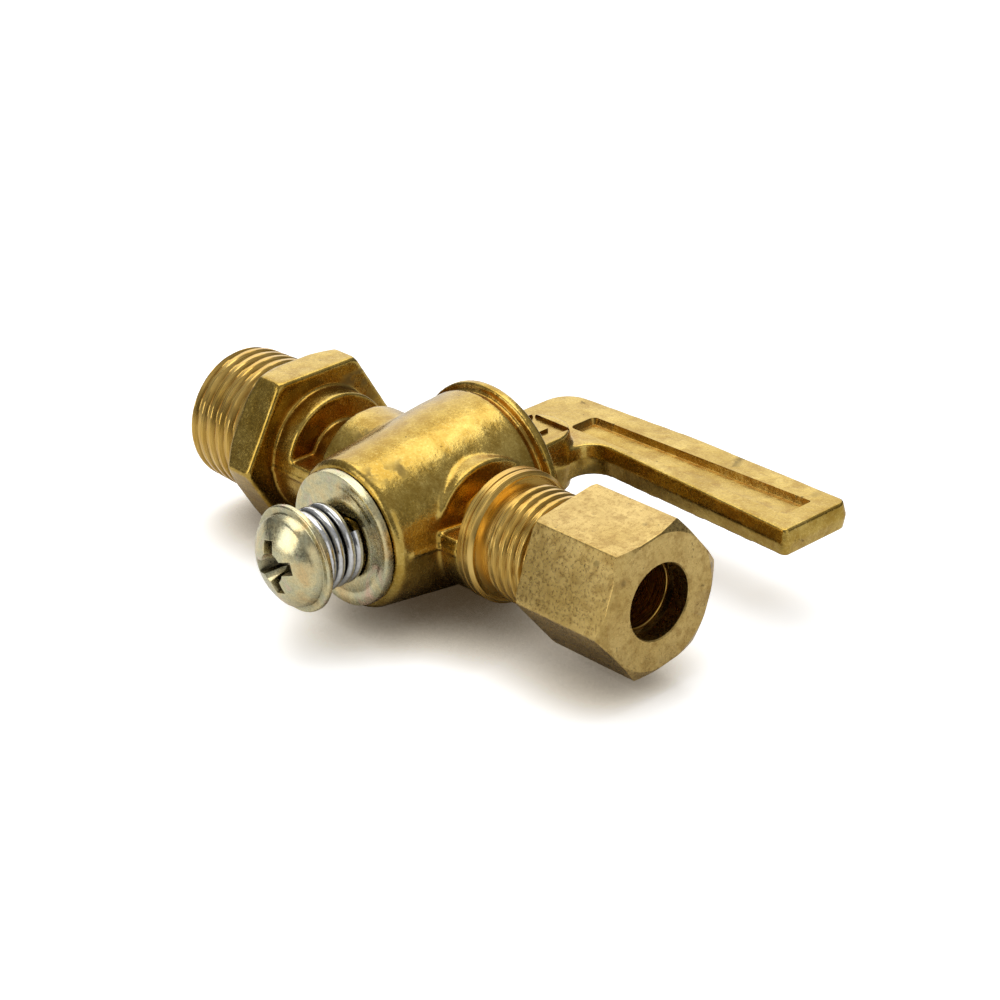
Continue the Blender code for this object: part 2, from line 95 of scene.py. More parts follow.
# Places along the plug (Y)
RIM_FACE = 7.4 * MM
RIM_RADIUS = 9.15 * MM
RIM_WIDTH = 1.0 * MM
BARREL_BIG_RADIUS = 8.72 * MM
BARREL_MIDDLE = (2.4 * MM, 8.5 * MM)
BARREL_SMALL_RADIUS = 7.1 * MM
BARREL_SMALL_FACE = -10.3 * MM
PLUG_BIG_RADIUS = 6.2 * MM
PLUG_SMALL_RADIUS = 4.85 * MM
PLUG_SMALL_END = -10.0 * MM
PLUG_HEAD_END = 8.6 * MM
PLUG_CLEARANCE = 0.15 * MM
TAIL_END = -11.2 * MM
TAIL_RADIUS = 3.5 * MM
TAIL_ACROSS_FLATS = 5.0 * MM
TAPPED_HOLE_RADIUS = 2.4 * MM
TAPPED_HOLE_BOTTOM = -5.2 * MM

# Hub and lever
HUB_HALF_WIDTH = 3.9 * MM
HUB_HALF_HEIGHT = 2.8 * MM
HUB_DRAFT = 0.5 * MM
HUB_CENTRE = 12.4 * MM
PANEL_DEPTH = 0.35 * MM
LEVER_HALF_THICKNESS = 1.3 * MM
LEVER_DRAFT = 0.28 * MM
LEVER_TIP = 29.5 * MM
LEVER_TIP_NEAR = 14.9 * MM
LEVER_ROOT_NEAR = 16.6 * MM
LEVER_FAR = 24.0 * MM
LEVER_HEEL = -6.7 * MM
LEVER_ROOT_EXTRA = 0.8 * MM
RECESS_NEAR = 17.4 * MM
RECESS_FAR = 21.4 * MM
RECESS_START = -0.4 * MM
RECESS_END = 27.2 * MM
RECESS_DEPTH = 0.65 * MM

# Washer, spring and screw
GAP = 0.3 * MM
WASHER_RADIUS = 6.4 * MM
WASHER_THICKNESS = 0.7 * MM
WIRE_RADIUS = 0.5 * MM
COIL_RADIUS = 3.38 * MM
SPRING_GAP = 0.1 * MM
SPRING_TURNS = 3.5
SPRING_START_ANGLE = math.radians(35)
CLOSED_PITCH_SHARE = 0.75
FLANGE_BACK = -16.0 * MM
FLANGE_THICKNESS = 0.7 * MM
FLANGE_RADIUS = 5.0 * MM
HEAD_RADIUS = 4.3 * MM
HEAD_SPHERE_RADIUS = 6.16 * MM
HEAD_APEX = -19.2 * MM
SHANK_RADIUS = 2.3 * MM
SHANK_END = -6.5 * MM
SCREW_PITCH = 25.4 / 24 * MM
SCREW_THREAD_DEPTH = 0.55 * MM
CROSS_ANGLE = math.radians(15)

# Compression nut and ferrule
NUT_BACK = 18.3 * MM
NUT_FRONT = 28.8 * MM
NUT_ACROSS_FLATS = 12.7 * MM
NUT_ANGLE = math.radians(8.4)
NUT_THREAD_RADIUS = 5.55 * MM
NUT_THREAD_END = 24.6 * MM
NUT_CONE_END = 27.0 * MM
NUT_BORE_RADIUS = 3.5 * MM
FERRULE_BACK = 22.4 * MM
FERRULE_FRONT = 26.4 * MM
FERRULE_RADIUS = 4.0 * MM
FERRULE_BORE_RADIUS = 3.25 * MM
FERRULE_NOSE = 1.0 * MM

# The photograph's viewpoint, about the crossing of the axes
CAMERA_AZIMUTH = math.radians(48.33)
CAMERA_ELEVATION = math.radians(26.22)
CAMERA_ROLL = math.radians(-2.15)
CAMERA_PLACE = (173.52 * MM, -146.47 * MM, 111.38 * MM)
CAMERA_LENS_MM = 99.56
CAMERA_SENSOR_MM = 36.0

# Light, where 1 is a white card in full light
FLOOR_GLOW = 0.62
FLOOR_BOUNCE = 0.86
# How far out from the object the floor's painted contact shadow reaches
CONTACT_SHADOW_REACH = 10.0 * MM
HORIZON_LIGHT = 0.07
ZENITH_LIGHT = 0.40

# Each light's name, its place about the crossing of the axes, its side in metres and its power in watts
LIGHTS = (
    ("overhead", (-0.12, 0.08, 0.55), 0.52, 1.70),
    ("behind", (-0.45, 0.38, 0.25), 0.60, 1.30),
    ("front_right", (0.45, -0.06, 0.16), 0.35, 0.25),
    ("left", (-0.15, -0.45, 0.18), 0.30, 0.60),
)

# The axes cross in the middle of the rim's height, half the body's length from the pipe end.
body_low, body_high = (Vector(corner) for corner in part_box("valve_body"))
CROSSING = Vector(
    (
        body_low.x - PIPE_END,
        body_low.y - BARREL_SMALL_FACE,
        (body_low.z + body_high.z) / 2,
    )
)

# The finest grain of the forgings, and how often they are smoothed
BODY_VOXEL = 0.17 * MM
BODY_ROUNDS = 10
LEVER_VOXEL = 0.14 * MM
LEVER_ROUNDS = 6


# Meshes


def new_object(name, mesh, smooth_angle=35):
    """An object in the axes' frame, smooth except at edges sharper than the angle in degrees."""
    obj = bpy.data.objects.new(name, mesh)
    bpy.context.scene.collection.objects.link(obj)
    if len(mesh.polygons):
        mesh.shade_smooth()
        mesh.set_sharp_from_angle(angle=math.radians(smooth_angle))
    return obj


def clean_mesh(name, points, faces):
    """A mesh with its coincident points merged and its faces all pointing out."""
    mesh = bpy.data.meshes.new(name)
    mesh.from_pydata([tuple(point) for point in points], [], [tuple(face) for face in faces])
    shape = bmesh.new()
    shape.from_mesh(mesh)
    bmesh.ops.remove_doubles(shape, verts=shape.verts, dist=0.0001 * MM)
    bmesh.ops.recalc_face_normals(shape, faces=shape.faces)
    shape.to_mesh(mesh)
    shape.free()
    return mesh


def lathe(name, profile, axis="X", steps=128, wobble=None):
    """A solid turned about X or Y from the (position, radius) points round its section.

    The section starts and ends on the axis, or else closes on itself. wobble(position, radius, angle)
    gives a changed radius, for threads. The angle runs from +Y towards +Z on X, and from +Z to +X on Y.
    """
    ring = profile[0][1] > 0.0
    angles = np.arange(steps) * TURN / steps
    position = np.array([p for p, _ in profile])[:, None] * np.ones(steps)
    radius = np.array([r for _, r in profile])[:, None] * np.ones(steps)
    if wobble:
        radius = np.where(radius > 0.0, wobble(position, radius, angles[None, :]), 0.0)
    first = radius * np.cos(angles)
    second = radius * np.sin(angles)
    columns = (position, first, second) if axis == "X" else (second, position, first)
    points = np.stack([c.ravel() for c in columns], axis=1)
    faces = []
    rows = len(profile)
    for i in range(rows if ring else rows - 1):
        low = i * steps
        high = ((i + 1) % rows) * steps
        for j in range(steps):
            k = (j + 1) % steps
            faces.append((low + j, low + k, high + k, high + j))
    return new_object(name, clean_mesh(name, points, faces))


def dense(profile, start, end, step):
    """A profile with the straight between two of its points, by index, divided into about equal steps."""
    first = np.array(profile[start])
    last = np.array(profile[end])
    count = max(1, round(float(np.linalg.norm(last - first)) / step))
    between = [tuple(first + (last - first) * i / count) for i in range(1, count)]
    return profile[: start + 1] + between + profile[end:]


def arc(centre, radius, start, end, count):
    """Points along a circle's arc, both ends included."""
    steps = [start + (end - start) * i / count for i in range(count + 1)]
    return [(centre[0] + radius * math.cos(a), centre[1] + radius * math.sin(a)) for a in steps]


def thread_wave(phase):
    """0 on a thread's crest and 1 in its root: a wide worn crest, two flanks and a narrow root."""
    share = np.abs(((phase + 0.5) % 1.0) - 0.5) * 2.0
    return np.clip((share - 0.36) / 0.46, 0.0, 1.0)


def extrusion(name, outline, half_height, axis="Z"):
    """A prism with this outline. Along Z the outline is in X and Y, and along Y it is in X and Z."""
    count = len(outline)
    points = [(x, y, side * half_height) for side in (-1, 1) for x, y in outline]
    if axis == "Y":
        points = [(x, z, y) for x, y, z in points]
    faces = [tuple(range(count)), tuple(range(count, 2 * count))]
    for i in range(count):
        j = (i + 1) % count
        faces.append((i, j, count + j, count + i))
    return new_object(name, clean_mesh(name, points, faces))


def inset(outline, distance):
    """The outline, anticlockwise, with every point moved in square to its neighbours' line."""
    moved = []
    for i, (x, y) in enumerate(outline):
        before = Vector(outline[i - 1])
        after = Vector(outline[(i + 1) % len(outline)])
        along = (after - before).normalized()
        moved.append((x - along.y * distance, y + along.x * distance))
    return moved


def drafted(name, outline, half_height, draft):
    """A forged prism along Z, full size on its parting plane and narrower by the draft at both ends."""
    count = len(outline)
    small = inset(outline, draft)
    layers = ((-half_height, small), (0.0, outline), (half_height, small))
    points = [(x, y, z) for z, ring in layers for x, y in ring]
    faces = [tuple(range(count)), tuple(range(2 * count, 3 * count))]
    for i in range(count):
        j = (i + 1) % count
        for row in (0, count):
            faces.append((row + i, row + j, row + count + j, row + count + i))
    return new_object(name, clean_mesh(name, points, faces))


def block(name, low, high):
    """A box between two opposite corners."""
    shape = bmesh.new()
    bmesh.ops.create_cube(shape, size=1.0)
    for vertex in shape.verts:
        for i in range(3):
            vertex.co[i] = low[i] if vertex.co[i] < 0 else high[i]
    mesh = bpy.data.meshes.new(name)
    shape.to_mesh(mesh)
    shape.free()
    return new_object(name, mesh)


def hexagon_outline(across_flats, angle):
    """Six corners, the first at this angle from the outline's first axis."""
    radius = across_flats / 2 / math.cos(math.pi / 6)
    return [
        (radius * math.cos(angle + i * TURN / 6), radius * math.sin(angle + i * TURN / 6))
        for i in range(6)
    ]


def hex_prism(name, outline, start, end):
    """A prism along X with a hexagon in Y and Z."""
    points = [(x, y, z) for x in (start, end) for y, z in outline]
    sides = [(i, (i + 1) % 6, 6 + (i + 1) % 6, 6 + i) for i in range(6)]
    return new_object(name, clean_mesh(name, points, [tuple(range(6)), tuple(range(6, 12)), *sides]))


def round_corners(corners, count=6):
    """An outline with each (x, y, radius) corner replaced by an arc that is tangent to both of its sides."""
    outline = []
    for i, (x, y, radius) in enumerate(corners):
        corner = Vector((x, y))
        back = (Vector(corners[i - 1][:2]) - corner).normalized()
        ahead = (Vector(corners[(i + 1) % len(corners)][:2]) - corner).normalized()
        half = back.angle(ahead) / 2
        centre = corner + (back + ahead).normalized() * radius / math.sin(half)
        first = corner + back * radius / math.tan(half) - centre
        last = corner + ahead * radius / math.tan(half) - centre
        start = math.atan2(first.y, first.x)
        sweep = (math.atan2(last.y, last.x) - start + math.pi) % TURN - math.pi
        outline += arc(centre, radius, start, start + sweep, count)
    return outline


def apply_all(obj):
    """The object's evaluated mesh becomes its mesh, and its modifiers go."""
    graph = bpy.context.evaluated_depsgraph_get()
    mesh = bpy.data.meshes.new_from_object(obj.evaluated_get(graph))
    mesh.name = obj.name
    obj.modifiers.clear()
    obj.data = mesh
    return obj


def boolean(target, tool, operation):
    """Cuts or joins with a tool, and removes the tool."""
    step = target.modifiers.new(tool.name, "BOOLEAN")
    step.operation = operation
    step.solver = "EXACT"
    step.object = tool
    apply_all(target)
    bpy.data.objects.remove(tool, do_unlink=True)
    return target


def cast(obj, voxel, rounds):
    """Turns a sharp solid into one with the even, softly rounded edges of a forging."""
    remesh = obj.modifiers.new("remesh", "REMESH")
    remesh.mode = "VOXEL"
    remesh.voxel_size = voxel
    remesh.adaptivity = 0.0
    apply_all(obj)
    soften = obj.modifiers.new("soften", "SMOOTH")
    soften.factor = 0.5
    soften.iterations = rounds
    return apply_all(obj)


def shade(obj, smooth_angle):
    """Smooth, except at edges sharper than the angle in degrees."""
    obj.data.shade_smooth()
    obj.data.set_sharp_from_angle(angle=math.radians(smooth_angle))
    return obj


def bevelled(obj, width, segments=3, angle=35):
    """The object with every edge sharper than the angle in degrees rounded."""
    bevel = obj.modifiers.new("edges", "BEVEL")
    bevel.width = width
    bevel.segments = segments
    bevel.limit_method = "ANGLE"
    bevel.angle_limit = math.radians(angle)
    return apply_all(obj)


def place(obj, material, body, node, slot):
    """Moves a finished piece to the crossing, gives it its material and hangs it on its body."""
    obj.data.transform(Matrix.Translation(CROSSING))
    obj.data.materials.clear()
    obj.data.materials.append(material)
    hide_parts(node)
    if body:
        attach(obj, body)
    return obj


# Materials


def new_material(name):
    material = bpy.data.materials.new(name)
    material.use_nodes = True
    return material, Graph(material.node_tree)


class Graph:
    """Short calls for building a shader from nodes."""

    def __init__(self, tree):
        self.tree = tree
        self.shader = tree.nodes["Principled BSDF"]
        self.coordinates = self.node("ShaderNodeTexCoord").outputs["Object"]

    def node(self, kind, **settings):
        made = self.tree.nodes.new(kind)
        for key, value in settings.items():
            setattr(made, key, value)
        return made

    def join(self, source, target):
        self.tree.links.new(source, target)

    def feed(self, socket, value):
        if isinstance(value, bpy.types.NodeSocket):
            self.join(value, socket)
        else:
            socket.default_value = value

    def stretched(self, scale):
        mapping = self.node("ShaderNodeMapping")
        mapping.inputs["Scale"].default_value = scale
        self.join(self.coordinates, mapping.inputs["Vector"])
        return mapping.outputs["Vector"]

    def noise(self, scale, detail=4.0, roughness=0.55, vector=None, distortion=0.0):
        made = self.node("ShaderNodeTexNoise")
        made.inputs["Scale"].default_value = scale
        made.inputs["Detail"].default_value = detail
        made.inputs["Roughness"].default_value = roughness
        made.inputs["Distortion"].default_value = distortion
        self.join(vector or self.coordinates, made.inputs["Vector"])
        return made.outputs["Fac"]

    def cells(self, scale):
        """The distance to the nearest of many scattered points."""
        made = self.node("ShaderNodeTexVoronoi")
        made.inputs["Scale"].default_value = scale
        self.join(self.coordinates, made.inputs["Vector"])
        return made.outputs["Distance"]

    def ramp(self, value, *stops):
        """A colour ramp through (position, colour) stops; a colour may be one number."""
        made = self.node("ShaderNodeValToRGB")
        elements = made.color_ramp.elements
        while len(elements) < len(stops):
            elements.new(0.5)
        for element, (position, colour) in zip(elements, stops):
            element.position = position
            rgb = (colour,) * 3 if isinstance(colour, (int, float)) else colour
            element.color = (*rgb, 1.0)
        self.join(value, made.inputs["Fac"])
        return made.outputs["Color"]

    def math(self, operation, first, second=0.0, clamp=False):
        made = self.node("ShaderNodeMath", operation=operation, use_clamp=clamp)
        self.feed(made.inputs[0], first)
        self.feed(made.inputs[1], second)
        return made.outputs["Value"]

    def mix(self, share, first, second, blend="MIX"):
        made = self.node("ShaderNodeMix", data_type="RGBA", blend_type=blend)
        self.feed(made.inputs["Factor"], share)
        for socket, value in ((made.inputs[6], first), (made.inputs[7], second)):
            self.feed(socket, (*value, 1.0) if isinstance(value, tuple) else value)
        return made.outputs[2]

    def turned_lines(self, axis, density, wander=0.0):
        """Lines round an axis, as a turning tool leaves: noise that changes along it and hardly round it."""
        scale = [wander, wander, wander]
        scale["XYZ".index(axis)] = 1.0
        return self.noise(density, 2.0, 0.6, self.stretched(tuple(scale)))

    def corners(self, radius, samples=6):
        """0 on open faces, up to 1 in corners and recesses, from ambient occlusion: where shade falls, which
        the materials paint into their colours.
        """
        made = self.node("ShaderNodeAmbientOcclusion", samples=samples)
        made.inputs["Distance"].default_value = radius
        made.only_local = True
        return self.math("SUBTRACT", 1.0, made.outputs["AO"], clamp=True)

    def bump(self, *layers):
        """Stacked bumps, each (height socket, height in metres, strength)."""
        normal = None
        for height, distance, strength in layers:
            made = self.node("ShaderNodeBump")
            made.inputs["Distance"].default_value = distance
            made.inputs["Strength"].default_value = strength
            self.join(height, made.inputs["Height"])
            if normal:
                self.join(normal, made.inputs["Normal"])
            normal = made.outputs["Normal"]
        self.join(normal, self.shader.inputs["Normal"])

    def metal(self, colour, roughness):
        self.feed(self.shader.inputs["Base Color"], colour)
        self.feed(self.shader.inputs["Roughness"], roughness)
        self.shader.inputs["Metallic"].default_value = 1.0


def forged_brass():
    """Tumbled forging: olive gold with a fine grain, soft dents and dark pits, and painted shade, a dark
    brown, in its corners and recesses.
    """
    material, g = new_material("forged_brass")
    broad = g.noise(170.0, 3.0, 0.5)
    patches = g.noise(620.0, 4.0, 0.6)
    grain = g.noise(4300.0, 4.0, 0.65)
    tone = g.ramp(broad, (0.34, (0.48, 0.315, 0.060)), (0.66, (0.66, 0.470, 0.125)))
    tone = g.mix(g.ramp(patches, (0.36, 0.65), (0.58, 0.0)), tone, (0.35, 0.200, 0.024))
    speckled = g.mix(g.ramp(grain, (0.40, 0.28), (0.52, 0.0)), tone, (0.26, 0.150, 0.022))
    speckled = g.mix(g.ramp(grain, (0.56, 0.0), (0.68, 0.20)), speckled, (0.90, 0.74, 0.34))
    # Painted shade: ambient occlusion at two reaches, made ragged by the patches, darkens the colour to dark
    # brown in corners and recesses.
    near_painted_shade = g.ramp(g.corners(2.0 * MM), (0.06, 0.0), (0.50, 1.0))
    far_painted_shade = g.ramp(g.corners(5.0 * MM), (0.16, 0.0), (0.60, 0.85))
    ragged = g.ramp(patches, (0.30, 1.0), (0.70, 0.60))
    painted_shade = g.math("MULTIPLY", g.math("MAXIMUM", near_painted_shade, far_painted_shade), ragged)
    with_painted_shade = g.mix(painted_shade, speckled, (0.31, 0.125, 0.012))
    pits = g.ramp(g.noise(700.0, 3.0, 0.66), (0.255, 1.0), (0.31, 0.0))
    scar_place = g.noise(210.0, 2.0, 0.5, g.stretched((1.0, 0.45, 1.0)))
    scar_spots = g.ramp(patches, (0.47, 0.0), (0.56, 1.0))
    scars = g.math("MULTIPLY", g.ramp(scar_place, (0.62, 0.0), (0.70, 1.0)), scar_spots)
    marks = g.math("MAXIMUM", pits, scars)
    colour = g.mix(g.math("MULTIPLY", marks, 0.60), with_painted_shade, (0.085, 0.060, 0.025))
    rough = g.mix(marks, g.ramp(grain, (0.30, 0.17), (0.70, 0.30)), (0.50, 0.50, 0.50))
    g.metal(colour, rough)
    g.bump(
        (broad, 0.30 * MM, 0.35),
        (patches, 0.10 * MM, 0.60),
        (grain, 0.008 * MM, 0.75),
    )
    return material


def machined_brass(axis):
    """Turned brass: bright orange gold with fine lines round its axis, and painted shade, brown, between its
    threads and in its corners.
    """
    material, g = new_material("machined_brass_" + axis.lower())
    lines = g.turned_lines(axis, 9000.0, 0.02)
    broad = g.noise(300.0, 3.0, 0.5)
    tone = g.ramp(broad, (0.3, (0.68, 0.420, 0.090)), (0.7, (0.82, 0.570, 0.180)))
    lined = g.mix(g.ramp(lines, (0.36, 0.55), (0.58, 0.0)), tone, (0.42, 0.235, 0.036))
    # Painted shade: ambient occlusion darkens the colour to brown in thread grooves and corners.
    painted_shade = g.ramp(g.corners(0.8 * MM), (0.12, 0.0), (0.55, 0.95))
    g.metal(g.mix(painted_shade, lined, (0.20, 0.090, 0.010)), g.ramp(lines, (0.3, 0.22), (0.7, 0.36)))
    g.bump((lines, 0.012 * MM, 0.7), (g.noise(900.0, 2.0), 0.012 * MM, 0.3))
    return material


def nut_brass():
    """Drawn hex bar: flat tan gold with fine speckle, small dark dents and scratches along the bar, and
    painted shade, brown, in its corners.
    """
    material, g = new_material("nut_brass")
    broad = g.noise(240.0, 3.0, 0.5)
    grain = g.noise(3600.0, 4.0, 0.6)
    along = g.noise(2600.0, 3.0, 0.6, g.stretched((0.10, 1.0, 1.0)))
    blotches = g.noise(900.0, 4.0, 0.6)
    tone = g.ramp(broad, (0.3, (0.54, 0.370, 0.115)), (0.7, (0.68, 0.490, 0.180)))
    tone = g.mix(g.ramp(blotches, (0.36, 0.60), (0.55, 0.0)), tone, (0.33, 0.195, 0.050))
    tone = g.mix(g.ramp(along, (0.38, 0.25), (0.58, 0.0)), tone, (0.36, 0.235, 0.065))
    tone = g.mix(g.ramp(grain, (0.32, 0.34), (0.52, 0.0)), tone, (0.29, 0.170, 0.036))
    pits = g.ramp(g.noise(1100.0, 3.0, 0.66), (0.29, 1.0), (0.34, 0.0))
    dents = g.ramp(g.cells(260.0), (0.055, 1.0), (0.105, 0.0))
    marks = g.math("MAXIMUM", pits, g.math("MULTIPLY", dents, 0.7))
    # Painted shade: ambient occlusion darkens the colour to brown in corners and in the bore.
    painted_shade = g.ramp(g.corners(1.6 * MM), (0.12, 0.0), (0.65, 0.92))
    colour = g.mix(g.math("MULTIPLY", marks, 0.65), tone, (0.13, 0.090, 0.035))
    g.metal(g.mix(painted_shade, colour, (0.20, 0.095, 0.016)), g.ramp(grain, (0.3, 0.22), (0.7, 0.36)))
    g.bump((broad, 0.10 * MM, 0.25), (along, 0.010 * MM, 0.5), (grain, 0.012 * MM, 0.6))
    return material


def plated(name, base, tints, lines_axis=None, roughness=(0.18, 0.32)):
    """Zinc plate: a pale metal with soft drifting tints and fine scratches, and painted shade, darker, in
    its corners and recesses.
    """
    material, g = new_material(name)
    drift = g.noise(420.0, 3.0, 0.55, distortion=0.6)
    stops = [(0.30 + 0.40 * i / (len(tints) - 1), tint) for i, tint in enumerate(tints)]
    tinted = g.mix(0.75, base, g.ramp(drift, *stops))
    grain = g.noise(3600.0, 3.0, 0.6)
    worn = g.mix(g.ramp(grain, (0.36, 0.35), (0.52, 0.0)), tinted, tuple(0.45 * part for part in base))
    # Painted shade: ambient occlusion darkens the colour to a dim copy of the base in corners and recesses.
    painted_shade = g.ramp(g.corners(1.6 * MM), (0.10, 0.0), (0.50, 0.94))
    colour = g.mix(painted_shade, worn, tuple(0.12 * part for part in base))
    g.metal(colour, g.ramp(grain, (0.3, roughness[0]), (0.7, roughness[1])))
    layers = [(grain, 0.010 * MM, 0.5), (g.noise(900.0, 2.0), 0.04 * MM, 0.3)]
    if lines_axis:
        layers.append((g.turned_lines(lines_axis, 7000.0, 0.05), 0.01 * MM, 0.5))
    g.bump(*layers)
    return material


def paper_white():
    """White paper with a painted contact shadow, dark brown, close under the object.

    The camera sees it a little brighter than the object's reflections do, as in an exposed-to-white shot.
    """
    material, g = new_material("floor_white")
    grain = g.noise(1800.0, 3.0)
    paper = g.ramp(grain, (0.3, (0.88, 0.88, 0.88)), (0.7, (0.92, 0.92, 0.92)))
    # Painted contact shadow: ambient occlusion under the object darkens the paper's colour, its glow, and
    # the floor that reflections see.
    near = g.node("ShaderNodeAmbientOcclusion", samples=12)
    near.inputs["Distance"].default_value = CONTACT_SHADOW_REACH
    tint = g.ramp(
        near.outputs["AO"],
        (0.20, (0.07, 0.045, 0.02)),
        (0.48, (0.60, 0.55, 0.46)),
        (0.80, (1.0, 1.0, 1.0)),
    )
    g.feed(g.shader.inputs["Base Color"], g.mix(1.0, paper, tint, "MULTIPLY"))
    g.feed(g.shader.inputs["Emission Color"], tint)
    g.shader.inputs["Roughness"].default_value = 0.8
    g.shader.inputs["Emission Strength"].default_value = FLOOR_GLOW
    dim = g.node("ShaderNodeBsdfDiffuse")
    g.feed(dim.inputs["Color"], g.mix(1.0, (FLOOR_BOUNCE,) * 3, tint, "MULTIPLY"))
    mixed = g.node("ShaderNodeMixShader")
    seen = g.node("ShaderNodeLightPath").outputs["Is Camera Ray"]
    g.join(seen, mixed.inputs["Fac"])
    g.join(dim.outputs["BSDF"], mixed.inputs[1])
    g.join(g.shader.outputs["BSDF"], mixed.inputs[2])
    g.join(mixed.outputs["Shader"], material.node_tree.nodes["Material Output"].inputs["Surface"])
    return material


# Body


def pipe_radius(position):
    return PIPE_END_RADIUS + (position - PIPE_END) * PIPE_TAPER


def plug_radius(position):
    share = (position - PLUG_SMALL_END) / (RIM_FACE - PLUG_SMALL_END)
    return PLUG_SMALL_RADIUS + (PLUG_BIG_RADIUS - PLUG_SMALL_RADIUS) * share


def barrel_radius(position):
    """The barrel's outside, which is two cones that meet at its middle."""
    place, radius = BARREL_MIDDLE
    if position < place:
        share = (position - BARREL_SMALL_FACE) / (place - BARREL_SMALL_FACE)
        return BARREL_SMALL_RADIUS + (radius - BARREL_SMALL_RADIUS) * share
    return min(BARREL_BIG_RADIUS, radius + 0.08 * (position - place))


def run_cutter():
    """The stepped bore along the whole run."""
    margin = 1.0 * MM
    slope = (TUBE_CONE_RADIUS - TUBE_BORE_RADIUS) / TUBE_CONE_DEPTH
    step = PIPE_END + PIPE_BORE_DEPTH
    profile = [
        (TUBE_END + margin, 0.0),
        (TUBE_END + margin, TUBE_CONE_RADIUS + margin * slope),
        (TUBE_END - TUBE_CONE_DEPTH, TUBE_BORE_RADIUS),
        (TUBE_STOP, TUBE_BORE_RADIUS),
        (TUBE_STOP - 0.8 * MM, RUN_BORE_RADIUS),
        (step, RUN_BORE_RADIUS),
        (step - margin, PIPE_BORE_RADIUS),
        (PIPE_END + 0.4 * MM, PIPE_BORE_RADIUS),
        (PIPE_END - margin, PIPE_BORE_RADIUS + 1.4 * MM),
        (PIPE_END - margin, 0.0),
    ]
    return lathe("run_cutter", profile, "X", 64)


def plug_cutter():
    """The tapered bore across the body that the plug turns in."""
    far = RIM_FACE + 1.0 * MM
    near = BARREL_SMALL_FACE - 1.0 * MM
    profile = [
        (far, 0.0),
        (far, plug_radius(far) + PLUG_CLEARANCE),
        (near, plug_radius(near) + PLUG_CLEARANCE),
        (near, 0.0),
    ]
    return lathe("plug_cutter", profile, "Y", 96)


def pocket_cutter(span):
    """Everything above the pocket's floor and outside its neck, between two places on the run."""
    reach = 1.5 * ARM_RADIUS
    cutter = block("pocket", (span[0], -reach, POCKET_FLOOR), (span[1], reach, reach))
    margin = 1.0 * MM
    neck = [
        (span[1] + margin, 0.0),
        (span[1] + margin, POCKET_NECK_RADIUS),
        (span[0] - margin, POCKET_NECK_RADIUS),
        (span[0] - margin, 0.0),
    ]
    return boolean(cutter, lathe("neck", neck, "X", 64), "DIFFERENCE")


def chamfered_hex():
    """The forged hex, its corners at +Y and -Y, with the edges nearest the pipe thread turned off."""
    corner = HEX_ACROSS_FLATS / 2 / math.cos(math.pi / 6)
    outline = hexagon_outline(HEX_ACROSS_FLATS, 0.0)
    solid = hex_prism("hex", outline, HEX_FAR, HEX_NEAR)
    envelope = [
        (HEX_NEAR, 0.0),
        (HEX_NEAR, corner - 0.35 * MM),
        (HEX_NEAR - 0.5 * MM, corner),
        (HEX_FAR + 0.9 * MM, corner),
        (HEX_FAR, corner - 1.1 * MM),
        (HEX_FAR, 0.0),
    ]
    boolean(solid, lathe("envelope", envelope, "X", 96), "INTERSECT")
    return bevelled(solid, 0.75 * MM)


def barrel_solid():
    centre = (BARREL_SMALL_FACE + 0.8 * MM, BARREL_SMALL_RADIUS - 0.8 * MM)
    profile = [
        (RIM_FACE, 0.0),
        (RIM_FACE, RIM_RADIUS - 0.2 * MM),
        (RIM_FACE - 0.2 * MM, RIM_RADIUS),
        (RIM_FACE - RIM_WIDTH, RIM_RADIUS),
        (RIM_FACE - RIM_WIDTH, BARREL_BIG_RADIUS - 0.45 * MM),
        (RIM_FACE - RIM_WIDTH - 0.6 * MM, BARREL_BIG_RADIUS - 0.40 * MM),
        (RIM_FACE - RIM_WIDTH - 0.9 * MM, BARREL_BIG_RADIUS),
        BARREL_MIDDLE,
        *arc(centre, 0.8 * MM, QUARTER, math.pi, 6),
        (BARREL_SMALL_FACE, 0.0),
    ]
    return lathe("barrel", profile, "Y", 128)


def flash_line():
    """The trimmed flash round the forging's parting plane: a thin step that stands a little proud of it."""
    proud = 0.15 * MM
    half_height = 0.15 * MM
    arm = ARM_RADIUS + proud
    places = (BARREL_SMALL_FACE + 1.2 * MM, -arm, arm)
    small, middle, big = (barrel_radius(y) + proud for y in places)
    far = RIM_FACE - RIM_WIDTH - 0.9 * MM
    right = [(small, places[0]), (middle, -arm), (TUBE_POCKET[1], -arm), (TUBE_POCKET[1], arm)]
    right += [(big, arm), (big, far), (-big, far), (-big, arm)]
    left = [(HEX_NEAR, arm), (HEX_NEAR, -arm), (-middle, -arm), (-small, places[0])]
    return extrusion("flash", right + left, half_height)


def make_forging():
    """The body as forged: both arms, the hex, the barrel and the relief pockets, then drilled and bored."""
    arms = [
        (TUBE_POCKET[1], 0.0),
        (TUBE_POCKET[1], ARM_RADIUS),
        (HEX_FAR, ARM_RADIUS),
        (HEX_FAR, 0.0),
    ]
    forging = lathe("body_forging", arms, "X", 128)
    for span in (PIPE_POCKET, (TUBE_POCKET[0], TUBE_POCKET[1] + 0.5 * MM)):
        boolean(forging, pocket_cutter(span), "DIFFERENCE")
    boolean(forging, barrel_solid(), "UNION")
    boolean(forging, flash_line(), "UNION")
    boolean(forging, chamfered_hex(), "UNION")
    cast(forging, BODY_VOXEL, BODY_ROUNDS)
    boolean(forging, run_cutter(), "DIFFERENCE")
    boolean(forging, plug_cutter(), "DIFFERENCE")
    return shade(forging, 50)


